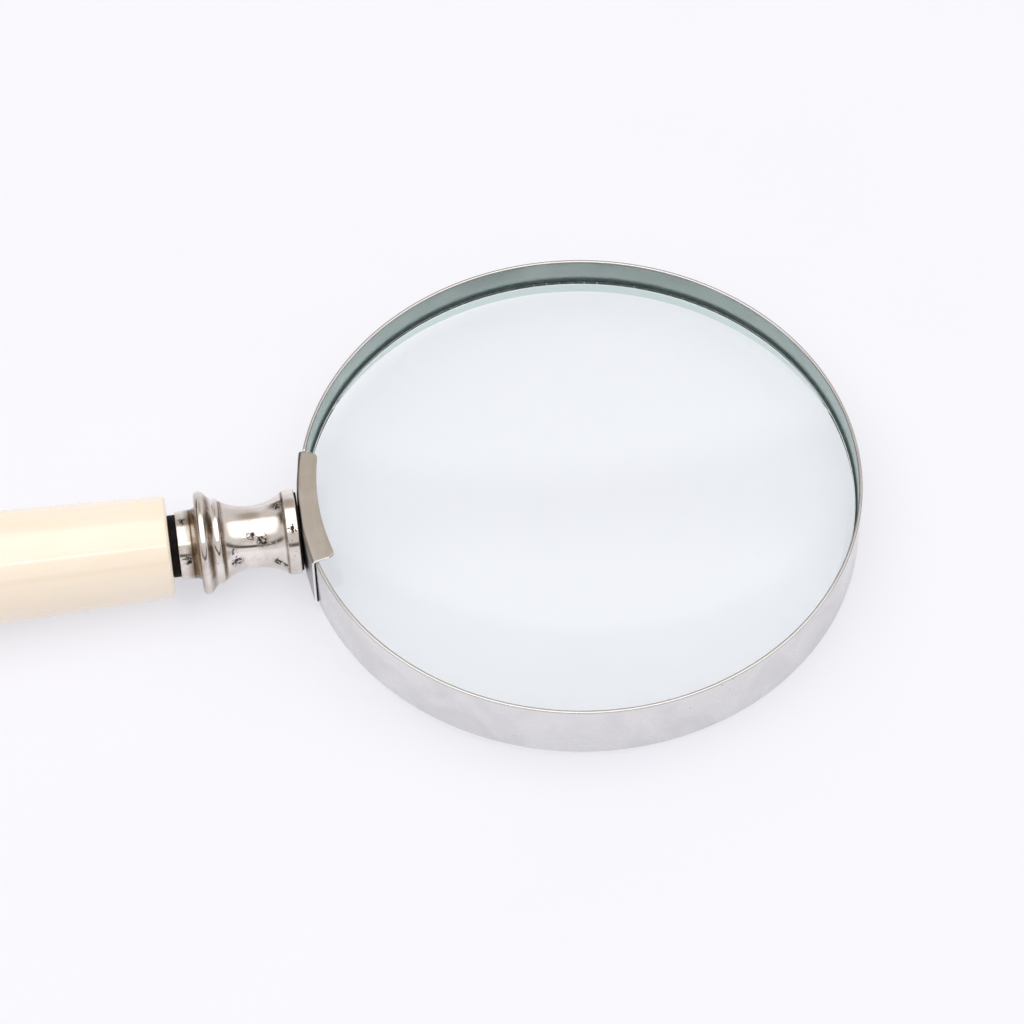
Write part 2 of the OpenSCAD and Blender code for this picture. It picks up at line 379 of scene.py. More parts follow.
def hoop_steel_look():
    """Satin strip steel: fine lines drawn along the strip, smudges, edges rubbed bright, and a painted green
    reflection of the glass on the inner face.
    """
    look = Look("hoop_steel", Metallic=1.0)
    lines = look.noise(look.scaled(look.uv, (1.0, 60.0, 1.0)), 0.006, 6, 0.65)
    smudge = look.noise(look.object, 0.011, 5, 0.6, 0.6)
    spots = look.band(look.cells(look.object, 0.0028), 0.04, 0.09, 1.0, 0.0)
    spots = look.calc("MULTIPLY", spots, look.band(look.noise(look.object, 0.02, 3), 0.5, 0.62))
    height = look.calc("ABSOLUTE", look.axis(look.object, "Z"))
    rim = look.band(height, BAND.half - 0.45 * MM, BAND.half - 0.1 * MM)
    base = look.mix(look.band(smudge, 0.35, 0.7), (0.745, 0.735, 0.735), (0.66, 0.65, 0.65))
    base = look.mix(look.calc("MULTIPLY", lines, 0.35), base, (0.80, 0.79, 0.785))
    base = look.mix(look.calc("MULTIPLY", spots, 0.6), base, (0.20, 0.19, 0.18))
    base = look.mix(rim, base, (0.62, 0.61, 0.60))
    # Painted reflection: the strip's inner face, apart from its rubbed rims, is painted green-grey where the
    # green glass shows in it, and made rougher.
    flat = look.scaled(look.object, (1.0, 1.0, 0.0))
    inside = look.near(flat, (0.0, 0.0, 0.0), BAND.inner + 0.06 * MM, BAND.inner + 0.2 * MM)
    inside = look.calc("MULTIPLY", inside, look.calc("SUBTRACT", 1.0, rim))
    base = look.mix(look.calc("MULTIPLY", inside, 0.85), base, (0.66, 0.80, 0.76))
    rough = look.calc("ADD", look.band(smudge, 0.3, 0.75, 0.20, 0.34), look.band(lines, 0.3, 0.7, 0.0, 0.07))
    rough = look.calc("SUBTRACT", rough, look.calc("MULTIPLY", rim, 0.1))
    rough = look.calc("ADD", rough, look.calc("MULTIPLY", inside, 0.12))
    look.set(Base_Color=base, Roughness=rough)
    look.bump(look.calc("ADD", look.calc("MULTIPLY", lines, 0.4), smudge), 0.01 * MM, 0.6)
    return look.material


def clip_steel_look():
    """Nickel worn to a flat taupe, with cross-wise rubbing marks, brighter folded edges, painted shade on the
    outer wall and painted highlights on the cut ends.
    """
    look = Look("clip_steel", Metallic=1.0)
    rubs = look.noise(look.scaled(look.object, (18.0, 1.0, 1.0)), 0.007, 5, 0.6)
    cloud = look.noise(look.object, 0.006, 4, 0.6, 0.5)
    height = look.calc("ABSOLUTE", look.axis(look.object, "Z"))
    lip = look.band(height, CLIP.half - 0.6 * MM, CLIP.half - 0.12 * MM)
    flat = look.mix(look.band(cloud, 0.35, 0.7), (0.42, 0.365, 0.315), (0.46, 0.42, 0.375))
    base = look.mix(lip, (0.58, 0.575, 0.57), flat)
    base = look.mix(look.calc("MULTIPLY", rubs, 0.4), base, (0.52, 0.485, 0.44))
    # Painted shade: the outer wall is painted almost black, fully on the far side and at 0.4 of that towards
    # the viewer's end.
    flat_out = look.scaled(look.object, (1.0, 1.0, 0.0))
    outside = look.near(flat_out, (0.0, 0.0, 0.0), CLIP.outer - 0.5 * MM, CLIP.outer - 0.15 * MM)
    darkening = look.calc("SUBTRACT", 1.0, outside)
    side = look.band(look.axis(look.object, "Y"), -7.0 * MM, -1.0 * MM, 0.4, 1.0)
    darkening = look.calc("MULTIPLY", darkening, side)
    base = look.mix(look.calc("MULTIPLY", darkening, 0.85), base, (0.10, 0.085, 0.07))
    # Painted highlight: the last 0.1 mm at each cut end of the clip is painted near white.
    along = look.calc("ABSOLUTE", look.axis(look.uv, "X"))
    clip_end = CLIP.outer * math.asin(CLIP_SPAN / 2 / CLIP.outer)
    base = look.mix(look.band(along, clip_end - 0.1 * MM, clip_end - 0.03 * MM), base, (0.95, 0.945, 0.94))
    look.set(Base_Color=base, Roughness=look.band(look.calc("ADD", rubs, cloud), 0.7, 1.4, 0.30, 0.46))
    look.bump(look.calc("ADD", rubs, cloud), 0.008 * MM, 0.5)
    return look.material


def neck_plate_look():
    """Old silver plate: bright, warm, with clusters of dark pits and brown tarnish in the grooves."""
    look = Look("neck_plate", Metallic=1.0)
    along = look.calc("MULTIPLY", look.axis(look.object, "X"), -1.0)
    groove = 0.0
    for station, reach in NECK_GROOVES_MM:
        tarnished = look.beside(along, NECK.start + station * MM, 0.0, reach * MM)
        groove = look.calc("MAXIMUM", groove, tarnished)
    cloud = look.noise(look.object, 0.008, 5, 0.6, 0.7)
    worn = look.band(look.noise(look.object, 0.005, 3, 0.6, 0.5), 0.35, 0.6)
    cluster = look.band(look.noise(look.object, 0.0062, 2, 0.5, 0.4), 0.67, 0.73)
    for station, turn, radius, reach in NECK_PITS_MM:
        turn = math.radians(turn)
        place = (-NECK.start - station * MM, -radius * MM * math.sin(turn), radius * MM * math.cos(turn))
        cluster = look.calc("MAXIMUM", cluster, look.near(look.object, place, 0.2 * reach * MM, reach * MM))
    fine = look.noise(look.object, 0.0005, 6, 0.75, 0.3)
    pits = look.band(look.calc("ADD", look.calc("MULTIPLY", cluster, 0.19), fine), 0.635, 0.69)
    rings = look.noise(look.scaled(look.object, (26.0, 1.0, 1.0)), 0.006, 5, 0.6)
    seam = look.beside(along, NECK.start + COVE_END_MM * MM, 0.05 * MM, 0.28 * MM)
    base = look.mix(look.band(cloud, 0.35, 0.65), (0.86, 0.815, 0.77), (0.68, 0.62, 0.565))
    darkening = look.calc("MULTIPLY", groove, look.band(worn, 0.0, 1.0, 0.6, 1.0))
    base = look.mix(darkening, base, (0.16, 0.095, 0.04))
    base = look.mix(look.calc("MULTIPLY", seam, 0.85), base, (0.05, 0.035, 0.02))
    halo = look.calc("MULTIPLY", cluster, look.band(fine, 0.35, 0.6, 0.1, 0.55))
    base = look.mix(halo, base, (0.34, 0.31, 0.28))
    base = look.mix(pits, base, (0.035, 0.033, 0.03))
    rough = look.calc("ADD", look.band(cloud, 0.3, 0.8, 0.08, 0.19), look.calc("MULTIPLY", groove, 0.15))
    rough = look.calc("ADD", rough, look.calc("MULTIPLY", pits, 0.5))
    look.set(Base_Color=base, Roughness=rough)
    surface = look.calc("ADD", look.calc("MULTIPLY", pits, -1.0), look.calc("MULTIPLY", rings, 0.05))
    look.bump(look.calc("ADD", surface, look.calc("MULTIPLY", cloud, 0.12)), 0.05 * MM, 0.7)
    return look.material


def machined_look(name, bright, dull, rough_low, rough_high):
    """Machined metal: fine turning lines, duller oil-darkened patches."""
    look = Look(name, Metallic=1.0)
    turning = look.noise(look.scaled(look.object, (40.0, 1.0, 1.0)), 0.004, 5, 0.6)
    cloud = look.noise(look.object, 0.003, 5, 0.6, 0.5)
    grain = look.noise(look.object, 0.0004, 3, 0.6)
    base = look.mix(look.band(cloud, 0.4, 0.65), bright, dull)
    rough = look.band(look.calc("ADD", turning, grain), 0.7, 1.3, rough_low, rough_high)
    look.set(Base_Color=base, Roughness=rough)
    look.bump(look.calc("ADD", turning, look.calc("MULTIPLY", grain, 0.5)), 0.006 * MM, 0.7)
    return look.material


def fibre_look(name, dark, pale):
    """Black pressed fibre, matt, with a fine felt of short hairs and grey dust."""
    look = Look(name, Metallic=0.0, Specular_IOR_Level=0.12)
    felt = look.noise(look.scaled(look.object, (3.0, 1.0, 1.0)), 0.0006, 6, 0.7, 1.0)
    dust = look.noise(look.object, 0.003, 4, 0.6)
    look.set(
        Base_Color=look.mix(look.band(look.calc("MULTIPLY", felt, dust), 0.22, 0.42), dark, pale),
        Roughness=look.band(felt, 0.3, 0.7, 0.5, 0.8),
    )
    look.bump(felt, 0.03 * MM, 0.7)
    return look.material


def grip_look():
    """Polished cream plastic in imitation of ivory: long faint grain, warm clouds, hairline scratches."""
    look = Look(
        "cream_grip",
        Metallic=0.0,
        IOR=1.5,
        Subsurface_Weight=0.12,
        Subsurface_Radius=(0.004, 0.0025, 0.0015),
        Subsurface_Scale=1.0,
        Coat_Weight=0.8,
        Coat_Roughness=0.04,
    )
    grain = look.noise(look.scaled(look.object, (0.05, 1.0, 1.0)), 0.0011, 4, 0.55, 0.6)
    cloud = look.noise(look.scaled(look.object, (0.4, 1.0, 1.0)), 0.011, 4, 0.55, 0.5)
    specks = look.band(look.cells(look.object, 0.0046), 0.018, 0.03, 1.0, 0.0)
    hairs = look.noise(look.scaled(look.object, (0.5, 9.0, 9.0)), 0.003, 6, 0.7, 0.3)
    hairline = look.band(hairs, 0.63, 0.67)
    base = look.mix(look.band(cloud, 0.3, 0.7), (0.90, 0.795, 0.665), (0.885, 0.765, 0.61))
    base = look.mix(look.band(grain, 0.45, 0.75, 0.0, 0.16), base, (0.84, 0.71, 0.54))
    base = look.mix(look.calc("MULTIPLY", specks, 0.45), base, (0.50, 0.38, 0.25))
    rough = look.calc("ADD", look.band(cloud, 0.3, 0.75, 0.16, 0.26), look.calc("MULTIPLY", hairline, 0.12))
    look.set(Base_Color=base, Roughness=rough)
    surface = look.calc("ADD", look.calc("MULTIPLY", hairline, -0.6), look.calc("MULTIPLY", grain, 0.4))
    look.bump(surface, 0.006 * MM, 0.5)
    return look.material


def packing_look():
    """Dark green-grey cork-and-rubber strip."""
    look = Look("packing_strip", Metallic=0.0, Specular_IOR_Level=0.3)
    crumbs = look.cells(look.object, 0.0007)
    tone = look.noise(look.object, 0.004, 4)
    look.set(
        Base_Color=look.mix(look.calc("MULTIPLY", crumbs, tone), (0.03, 0.05, 0.048), (0.10, 0.14, 0.13)),
        Roughness=look.band(crumbs, 0.0, 0.7, 0.65, 0.9),
    )
    look.bump(crumbs, 0.05 * MM, 0.8)
    return look.material


# ---------------------------------------------------------------- pieces

HOOP_SEGMENTS = 540
SEAT_SEGMENTS = 14
SEAT_DEG = 28.74
SEAT_RELIEF = 0.25 * MM
STRIP_GAP = 5.0 * MM
LENS_STEPS = 48
LENS_SEGMENTS = 360
LENS_FLAT = 49.1 * MM
LENS_EDGE = 2.0 * MM
LENS_CHAMFER = 0.22 * MM


def hoop_band():
    """The steel strip bent into a hoop. Its ends stop either side of the screw, and its edges are filed down
    where the clip's lips lie over them."""
    chamfer = 0.15 * MM
    gap = 2 * math.asin(STRIP_GAP / 2 / BAND.outer)
    seat = math.radians(SEAT_DEG)
    near = np.linspace(gap / 2, seat / 2 - CLIP_OFFSET, SEAT_SEGMENTS)
    far = np.linspace(gap / 2, seat / 2 + CLIP_OFFSET, SEAT_SEGMENTS)
    turns = np.linspace(near[-1] - math.pi, math.pi - far[-1], HOOP_SEGMENTS)
    angles = np.concatenate([near - math.pi, turns, math.pi - far[::-1]])
    filed = np.full(SEAT_SEGMENTS, BAND.half - SEAT_RELIEF)
    half = np.concatenate([filed, np.full(HOOP_SEGMENTS, BAND.half), filed])
    rows = []
    for angle, height in zip(angles, half):
        outline = [
            (BAND.outer, -height + chamfer), (BAND.outer, height - chamfer),
            (BAND.outer - chamfer, height), (BAND.inner + chamfer, height),
            (BAND.inner, height - chamfer), (BAND.inner, -height + chamfer),
            (BAND.inner + chamfer, -height), (BAND.outer - chamfer, -height),
        ]
        outline = outline + outline[:1]
        rows.append([(r * math.cos(angle), r * math.sin(angle), z) for r, z in outline])
    points = np.array(rows)
    outline = np.array([(math.hypot(p[0], p[1]), p[2]) for p in rows[0]])
    round_strip = np.concatenate([[0], np.cumsum(np.hypot(*np.diff(outline, axis=0).T))])
    lengths = np.stack(np.broadcast_arrays((angles * BAND.outer)[:, None], round_strip), -1)
    obj = grid_piece("band_strip", points, lengths, caps=True)
    soften_edges(obj, 0.07 * MM)
    return obj


def lens():
    """The biconvex lens: two spherical faces, a ground edge with a fine chamfer, and a flat for the screw."""
    centre_half = GLASS.half
    edge_half = LENS_EDGE / 2
    sag = centre_half - edge_half
    rim = GLASS.outer
    face = (rim * rim + sag * sag) / (2 * sag)
    top = []
    for i in range(LENS_STEPS + 1):
        r = (rim - LENS_CHAMFER) * math.sin(math.pi / 2 * i / LENS_STEPS)
        top.append((r, centre_half - (face - math.sqrt(face * face - r * r))))
    corner = top[-1][1]
    side = [(rim, corner - LENS_CHAMFER), (rim, LENS_CHAMFER - corner)]
    outline = top + side + [(r, -z) for r, z in reversed(top)]
    angles = np.linspace(0, 2 * math.pi, LENS_SEGMENTS + 1)
    points = np.array([[(r * math.cos(a), r * math.sin(a), z) for a in angles] for r, z in outline])
    points[:, :, 0] = np.maximum(points[:, :, 0], -LENS_FLAT)
    steps = np.hypot(*np.diff(np.array(outline), axis=0).T)
    travelled = np.concatenate([[0], np.cumsum(steps)])
    lengths = np.stack(np.broadcast_arrays(angles * rim, travelled[:, None]), -1)
    obj = grid_piece("lens_disc", points, lengths)
    settle(obj, 20)
    return obj


CLIP_SHEET = 0.4 * MM
CLIP_BEND = 0.7 * MM
CLIP_SPAN = 25.0 * MM
LIP_EDGE = 47.6 * MM
LIP_SKEW = 0.45 * MM
LIP_CORNER = 1.3 * MM
CLIP_FLARE = 0.22 * MM
CLIP_FLARE_START = 0.7
CLIP_FLARE_FROM = 1.5 * MM
CLIP_OFFSET = math.asin(0.65 * MM / BAND.outer)


def lip_reach(angle, side_angle):
    """Distance from the lens's axis to the lip's inner edge at an angle from the handle's axis, on the
    viewer's side if negative: an arc that sits a little askew, with its two corners rounded."""
    edge = LIP_EDGE + LIP_SKEW * angle / side_angle
    centre = edge + LIP_CORNER
    corner_angle = side_angle - math.asin(LIP_CORNER / centre)
    if abs(angle) < corner_angle:
        return edge
    toward = centre * math.cos(abs(angle) - corner_angle)
    return toward - math.sqrt(max(0.0, toward * toward - centre**2 + LIP_CORNER**2))


def clip_skin(edge, radius, height, bend):
    """One side of the folded sheet in section: the upper lip from its edge, the bend, the wall and the same
    again below."""
    bent = radius - bend
    up = height - bend
    lip = [(edge + (bent - edge) * t, height) for t in np.linspace(0, 1, 7)]
    fold = arc((bent, up), bend, 90, 0, 6)
    wall = [(radius, up * (1 - 2 * i / 8)) for i in range(1, 8)]
    half = lip[:-1] + fold
    return half + wall + [(r, -z) for r, z in reversed(half)]


def saddle_clip():
    """The folded sheet over the hoop's two ends: a curved wall with a lip above and below. Its ends have
    sprung a little off the strip."""
    outer = CLIP.outer
    inner = outer - CLIP_SHEET
    top = CLIP.half
    side = math.asin(CLIP_SPAN / 2 / outer)
    inner_bend = CLIP_BEND - CLIP_SHEET
    fine = np.linspace(-1, 1, 61)
    angles = side * np.sign(fine) * np.abs(fine) ** 0.8
    rows = []
    for angle in angles:
        edge = lip_reach(angle, side)
        flare = CLIP_FLARE * max(0.0, abs(angle) / side - CLIP_FLARE_START) / (1 - CLIP_FLARE_START)
        outside = clip_skin(edge, outer, top, CLIP_BEND)
        inside = clip_skin(edge, inner, top - CLIP_SHEET, inner_bend)
        outline = outside + inside[::-1]
        outline = outline + outline[:1]
        turn = math.pi - angle - CLIP_OFFSET
        sprung = [(r + flare if r > outer - CLIP_FLARE_FROM else r, z) for r, z in outline]
        rows.append([(r * math.cos(turn), r * math.sin(turn), z) for r, z in sprung])
    points = np.array(rows)
    spans = np.linalg.norm(np.diff(points[len(angles) // 2], axis=0), axis=1)
    travelled = np.concatenate([[0], np.cumsum(spans)])
    lengths = np.stack(np.broadcast_arrays((angles * outer)[:, None], travelled), -1)
    obj = grid_piece("clip_sheet", points, lengths, caps=True)
    hole = revolve(
        "hole_cutter",
        [(inner - MM, 0), (inner - MM, SCREW_HOLE), (outer + MM, SCREW_HOLE), (outer + MM, 0)],
        64,
    )
    cut(obj, hole)
    soften_edges(obj, 0.06 * MM)
    return obj


SCREW_R = 2.0 * MM
SCREW_PITCH = 0.7 * MM
SCREW_HOLE = 2.15 * MM
SCREW_HEAD = 0.85 * MM
FIT = 0.05 * MM
ROD_R = 3.0 * MM
ROD_PITCH = 1.0 * MM


def hoop_screw():
    """A flat-headed M4 screw: slotted head, plain neck through the clip, then thread."""
    head_end = SCREW.start + SCREW_HEAD
    edge = 0.15 * MM
    head = SCREW.radius
    shank = SCREW_R * 0.98
    shank_end = CLIP.outer + 0.2 * MM
    rows = [
        (SCREW.start, 0), (SCREW.start, head - edge), (SCREW.start + edge, head),
        (head_end - edge / 2, head), (head_end, head - edge / 2), (head_end, shank), (shank_end, shank),
    ]
    rows += thread_rows(shank_end, SCREW.end, SCREW_R, SCREW_PITCH, lead=0.5 * MM)
    rows.append((SCREW.end, 0))
    obj = revolve("neck_screw", rows, THREAD_SEGMENTS)
    slot_half = (0.35 * MM, head * 1.2, 0.5 * MM)
    block = bmesh.new()
    bmesh.ops.create_cube(block, size=2)
    mesh = bpy.data.meshes.new("slot_cutter")
    block.to_mesh(mesh)
    block.free()
    cutter = bpy.data.objects.new("slot_cutter", mesh)
    bpy.context.scene.collection.objects.link(cutter)
    cutter.matrix_world = Matrix.Translation((-SCREW.start, 0, 0)) @ Matrix.Diagonal((*slot_half, 1))
    cut(obj, cutter)
    return obj


COLLAR_R_MM = 7.75
COLLAR_W_MM = 2.15
WAIST_R_MM = 5.65
WAIST_CURVE_MM = 10.5
WAIST_AT_MM = 8.2
BEAD_R_MM = 7.8
BEAD_AT_MM = 14.55
BEAD_TUBE_MM = 0.75
FLANGE_AT_MM = 17.15
FLANGE_TUBE_MM = 0.95
COVE_END_MM = 19.2
COVE_R_MM = 1.575
TAIL_R_MM = 6.25
NECK_BORE_MM = 8.9
NECK_GROOVES_MM = ((2.35, 0.4), (13.6, 0.6), (15.9, 0.9), (18.9, 1.9))
# Clusters of pits: distance from the neck's start, turn from its top towards the viewer in degrees, the
# neck's radius there, and how far the cluster reaches.
NECK_PITS_MM = (
    (1.0, 33, 7.7, 1.5),
    (6.6, 45, 5.8, 2.0),
    (8.6, 36, 5.7, 1.4),
    (11.5, 78, 6.2, 1.9),
    (4.2, 88, 6.5, 1.7),
    (3.2, -10, 6.9, 1.3),
    (20.6, -6, 6.3, 1.4),
    (20.2, 62, 6.3, 1.5),
)


def neck_outline():
    """The neck's outside from its front face to its back face, as (distance from its start, radius) in mm."""
    edge = 0.2
    waist_start = COLLAR_W_MM + 0.1
    waist_end = BEAD_AT_MM - BEAD_TUBE_MM
    waist = []
    for s in np.linspace(waist_start, waist_end, 25):
        waist.append((s, WAIST_R_MM + WAIST_CURVE_MM - math.sqrt(WAIST_CURVE_MM**2 - (s - WAIST_AT_MM) ** 2)))
    bead = arc((BEAD_AT_MM, BEAD_R_MM - BEAD_TUBE_MM), BEAD_TUBE_MM, 180, 60, 10)
    crest = NECK.radius / MM - FLANGE_TUBE_MM
    rise_start = bead[-1]
    flange = arc((FLANGE_AT_MM, crest), FLANGE_TUBE_MM, 140, -12, 12)
    rise = []
    for i in range(1, 8):
        t = i / 8
        s = rise_start[0] + (flange[0][0] - rise_start[0]) * t
        r = rise_start[1] + (flange[0][1] - rise_start[1]) * (0.35 * t + 0.65 * t * t)
        rise.append((s, r))
    cove = arc((COVE_END_MM, TAIL_R_MM + COVE_R_MM), COVE_R_MM, 205, 270, 12)
    return (
        [(0, COLLAR_R_MM - edge)]
        + arc((edge, COLLAR_R_MM - edge), edge, 150, 90, 3)
        + arc((COLLAR_W_MM - edge, COLLAR_R_MM - edge), edge, 90, 0, 4)
        + waist
        + bead
        + rise
        + flange
        + cove
        + arc((NECK.length / MM - edge, TAIL_R_MM - edge), edge, 90, 0, 4)
    )


def neck():
    """The turned neck, with the threaded hole for the hoop's screw in its front and the rod's in its back."""
    outside = [(NECK.start + s * MM, r * MM) for s, r in neck_outline()]
    bottom = NECK.start + NECK_BORE_MM * MM
    bore = thread_rows(NECK.start, bottom, SCREW_R, SCREW_PITCH, open_by=FIT)
    back_bore = NECK.end - (NECK.end - ROD.start) * 0.98
    gripping = ROD_R + 0.01 * MM
    rows = outside + [(NECK.end, gripping), (back_bore, gripping), (back_bore, 0)]
    rows += [(bottom, 0)] + bore[::-1] + [(NECK.start, SCREW_R + FIT + 0.25 * MM)] + outside[:1]
    return revolve("neck_turned", rows, THREAD_SEGMENTS)


def threaded_rod():
    """The rod fixed in the neck's back: plain where it is gripped, then an M6 thread."""
    plain_end = NECK.end - 0.5 * MM
    front = ROD.start + 0.3 * MM
    gripped = ROD_R - 0.02 * MM
    rows = [(front, 0), (front, gripped), (plain_end, gripped)]
    rows += thread_rows(plain_end, ROD.end, ROD_R, ROD_PITCH, lead=0.7 * MM)
    rows.append((ROD.end, 0))
    obj = revolve("rod_thread", rows, THREAD_SEGMENTS)
    settle(obj)
    return obj


def washer(name, measure, bore):
    """A flat washer with soft edges."""
    edge = min(0.12 * MM, measure.length / 4)
    rows = [(measure.start, bore), (measure.start, measure.radius - edge)]
    rows += arc((measure.start + edge, measure.radius - edge), edge, 150, 90, 2)
    rows += arc((measure.end - edge, measure.radius - edge), edge, 90, 30, 2)
    rows += [(measure.end, measure.radius - edge), (measure.end, bore), (measure.start, bore)]
    obj = revolve(name, rows, 128)
    settle(obj)
    return obj


def brass_bush():
    """The threaded brass bush let into the handle's front."""
    bottom = ROD.end + 2 * MM
    mouth = ROD_R + FIT + 0.3 * MM
    rows = [(BUSH.end, 0), (BUSH.end, BUSH.radius), (BUSH.start, BUSH.radius), (BUSH.start, mouth)]
    rows += thread_rows(BUSH.start, bottom, ROD_R, ROD_PITCH, open_by=FIT)
    rows += [(bottom, 0)]
    obj = revolve("bush_thread", rows, THREAD_SEGMENTS)
    settle(obj)
    return obj


GRIP_FRONT_R = 9.325 * MM
GRIP_TAPER_LEN = 60.0 * MM
GRIP_DOME_LEN = 21.0 * MM
GRIP_BEVEL = 0.7 * MM


def grip_radius(s):
    """The handle's radius at a distance s from its front: a straight taper, an easing and an oval dome."""
    ease = GRIP.length - GRIP_TAPER_LEN - GRIP_DOME_LEN
    slope = (GRIP.radius - GRIP_FRONT_R) / (GRIP_TAPER_LEN + ease / 2)
    if s < GRIP_TAPER_LEN:
        return GRIP_FRONT_R + slope * s
    if s < GRIP_TAPER_LEN + ease:
        return GRIP.radius - slope * ease / 2 * (1 - (s - GRIP_TAPER_LEN) / ease) ** 2
    dome = (s - GRIP.length + GRIP_DOME_LEN) / GRIP_DOME_LEN
    return GRIP.radius * math.sqrt(max(0.0, 1 - dome * dome))


def handle_grip():
    """The domed handle, bevelled at its front and bored for the bush."""
    body_len = GRIP.length - GRIP_DOME_LEN
    bevel = [(0, GRIP_FRONT_R - GRIP_BEVEL), (0.06 * MM, GRIP_FRONT_R - 0.62 * GRIP_BEVEL)]
    bevel += [(0.62 * GRIP_BEVEL, grip_radius(0) - 0.06 * MM), (GRIP_BEVEL, grip_radius(GRIP_BEVEL))]
    taper = [(s, grip_radius(s)) for s in np.linspace(GRIP_BEVEL, body_len, 41)[1:-1]]
    dome = [body_len + GRIP_DOME_LEN * math.sin(math.pi / 2 * i / 32) for i in range(33)]
    outline = bevel + taper + [(s, grip_radius(s)) for s in dome]
    rows = [(GRIP.start + s, r) for s, r in outline]
    bore = BUSH.radius + 0.01 * MM
    rows = [(BUSH.end, 0), (BUSH.end, bore), (GRIP.start, bore)] + rows
    obj = revolve("grip_turned", rows, 192)
    settle(obj, 25)
    return obj


steel_look = machined_look("machined_steel", (0.56, 0.55, 0.53), (0.36, 0.33, 0.29), 0.18, 0.38)
brass_look = machined_look("machined_brass", (0.78, 0.60, 0.30), (0.60, 0.42, 0.20), 0.18, 0.36)
black_look = fibre_look("black_fibre", (0.004, 0.003, 0.003), (0.022, 0.018, 0.015))

finish_piece(lens(), "hoop", "lens_glass", glass_look(), "lens")
finish_piece(hoop_band(), "hoop", "hoop_steel", hoop_steel_look(), "hoop_band")
finish_piece(saddle_clip(), "hoop", "clip_steel", clip_steel_look(), "saddle_clip")
finish_piece(hoop_screw(), "hoop", "screw_steel", steel_look, "hoop_screw")
collar_washer = washer("collar_washer", NECK_WASHER, SCREW_R + FIT)
finish_piece(collar_washer, "hoop_washer", "washer_black", black_look, "neck_washer")
neck_piece = neck()
settle(neck_piece, 28)
finish_piece(neck_piece, "neck", "neck_plate", neck_plate_look(), "neck")
finish_piece(threaded_rod(), "neck", "rod_steel", steel_look, "handle_rod")
handle_washer = washer("handle_washer_disc", SPACER, ROD_R + FIT)
finish_piece(handle_washer, "handle_washer", "washer_black", black_look, "spacer_washer")
finish_piece(brass_bush(), "handle", "bush_brass", brass_look, "handle_bush")
finish_piece(handle_grip(), "handle", "grip_cream", grip_look(), "handle_grip")

packing = frame["nodes"]["lens_packing"]
packing.data.materials.clear()
packing.data.materials.append(packing_look())

# ---------------------------------------------------------------- camera

VIEW_AZIMUTH = math.radians(-7.44)
VIEW_ELEVATION = math.radians(54.03)
VIEW_ROLL = math.radians(-0.88)
VIEW_DISTANCE = 0.6982
AIM_TOWARDS_HANDLE = 12.8 * MM
AIM_TOWARDS_VIEWER = 1.5 * MM
FOCAL_MM = 135.0
SENSOR_MM = 36.0


def add_camera():
    """A long lens looking down on the hoop. The angles are about the hoop's own plane."""
    back = Vector((
        math.sin(VIEW_AZIMUTH) * math.cos(VIEW_ELEVATION),
        -math.cos(VIEW_AZIMUTH) * math.cos(VIEW_ELEVATION),
        math.sin(VIEW_ELEVATION),
    ))
    level = Vector((math.cos(VIEW_AZIMUTH), math.sin(VIEW_AZIMUTH), 0))
    upright = back.cross(level)
    right = math.cos(VIEW_ROLL) * level + math.sin(VIEW_ROLL) * upright
    stand = Matrix((right, back.cross(right), back)).transposed().to_4x4()
    stand.translation = Vector((-AIM_TOWARDS_HANDLE, -AIM_TOWARDS_VIEWER, 0)) + VIEW_DISTANCE * back
    data = bpy.data.cameras.new("camera")
    data.lens = FOCAL_MM
    data.sensor_width = SENSOR_MM
    data.dof.use_dof = False
    data.clip_start = 0.01
    camera = bpy.data.objects.new("camera", data)
    camera.matrix_world = LAY @ stand
    bpy.context.scene.collection.objects.link(camera)
    bpy.context.scene.camera = camera


add_camera()

# ---------------------------------------------------------------- floor and light

FLOOR_SIZE = 8.0
TABLE_GLOW = (0.535, 0.54, 0.575)


def add_floor():
    """A plain pale table lit from below as well, so shadows on it stay light, and faintly uneven in tone."""
    half = FLOOR_SIZE / 2
    mesh = bpy.data.meshes.new("floor")
    corners = [(-half, -half, 0), (half, -half, 0), (half, half, 0), (-half, half, 0)]
    mesh.from_pydata(corners, [], [(0, 1, 2, 3)])
    floor = bpy.data.objects.new("floor", mesh)
    bpy.context.scene.collection.objects.link(floor)
    look = Look("pale_table", Metallic=0.0, Specular_IOR_Level=0.15, Roughness=0.8)
    tone = look.noise(look.object, 0.05, 4, 0.6)
    look.set(Base_Color=look.mix(tone, (0.33, 0.326, 0.34), (0.345, 0.341, 0.355)))
    look.set(Emission_Color=(*TABLE_GLOW, 1.0), Emission_Strength=1.0)
    mesh.materials.append(look.material)


TENT_WALL_LOW = (0.86, 0.85, 0.89)
TENT_WALL_HIGH = (0.74, 0.71, 0.69)
# Each patch of the light tent: its direction, how far from it the patch is full and where it ends, in
# degrees, and its colour. A later patch lies over an earlier one.
TENT_PATCHES = (
    ((0.05, 0.76, 0.65), 7, 22, (0.52, 0.46, 0.40)),
    ((-0.86, 0.30, 0.42), 9, 22, (0.10, 0.08, 0.06)),
    ((-0.62, 0.75, 0.12), 10, 24, (0.12, 0.09, 0.07)),
    ((0.90, 0.25, 0.22), 12, 24, (0.14, 0.11, 0.09)),
)
# The panel overhead, as slopes from straight up: half its width, how far it reaches away from and towards
# the viewer, and how soft its edges are. The dark sill is a low strip on the viewer's side. Its foot, top
# and side each fade between two heights or places.
PANEL_LEVEL = (1.85, 1.83, 1.80)
PANEL_HALF_WIDTH = 1.1
PANEL_AWAY = 0.58
PANEL_TOWARDS = 0.62
PANEL_SOFT = 0.28
PANEL_LOW_EDGE = (0.05, 0.2)
SILL_LEVEL = (0.10, 0.075, 0.05)
SILL_FOOT = (0.20, 0.27)
SILL_TOP = (0.44, 0.35)
SILL_SIDE = (-0.25, -0.55)
TENT_LEVEL = 1.0


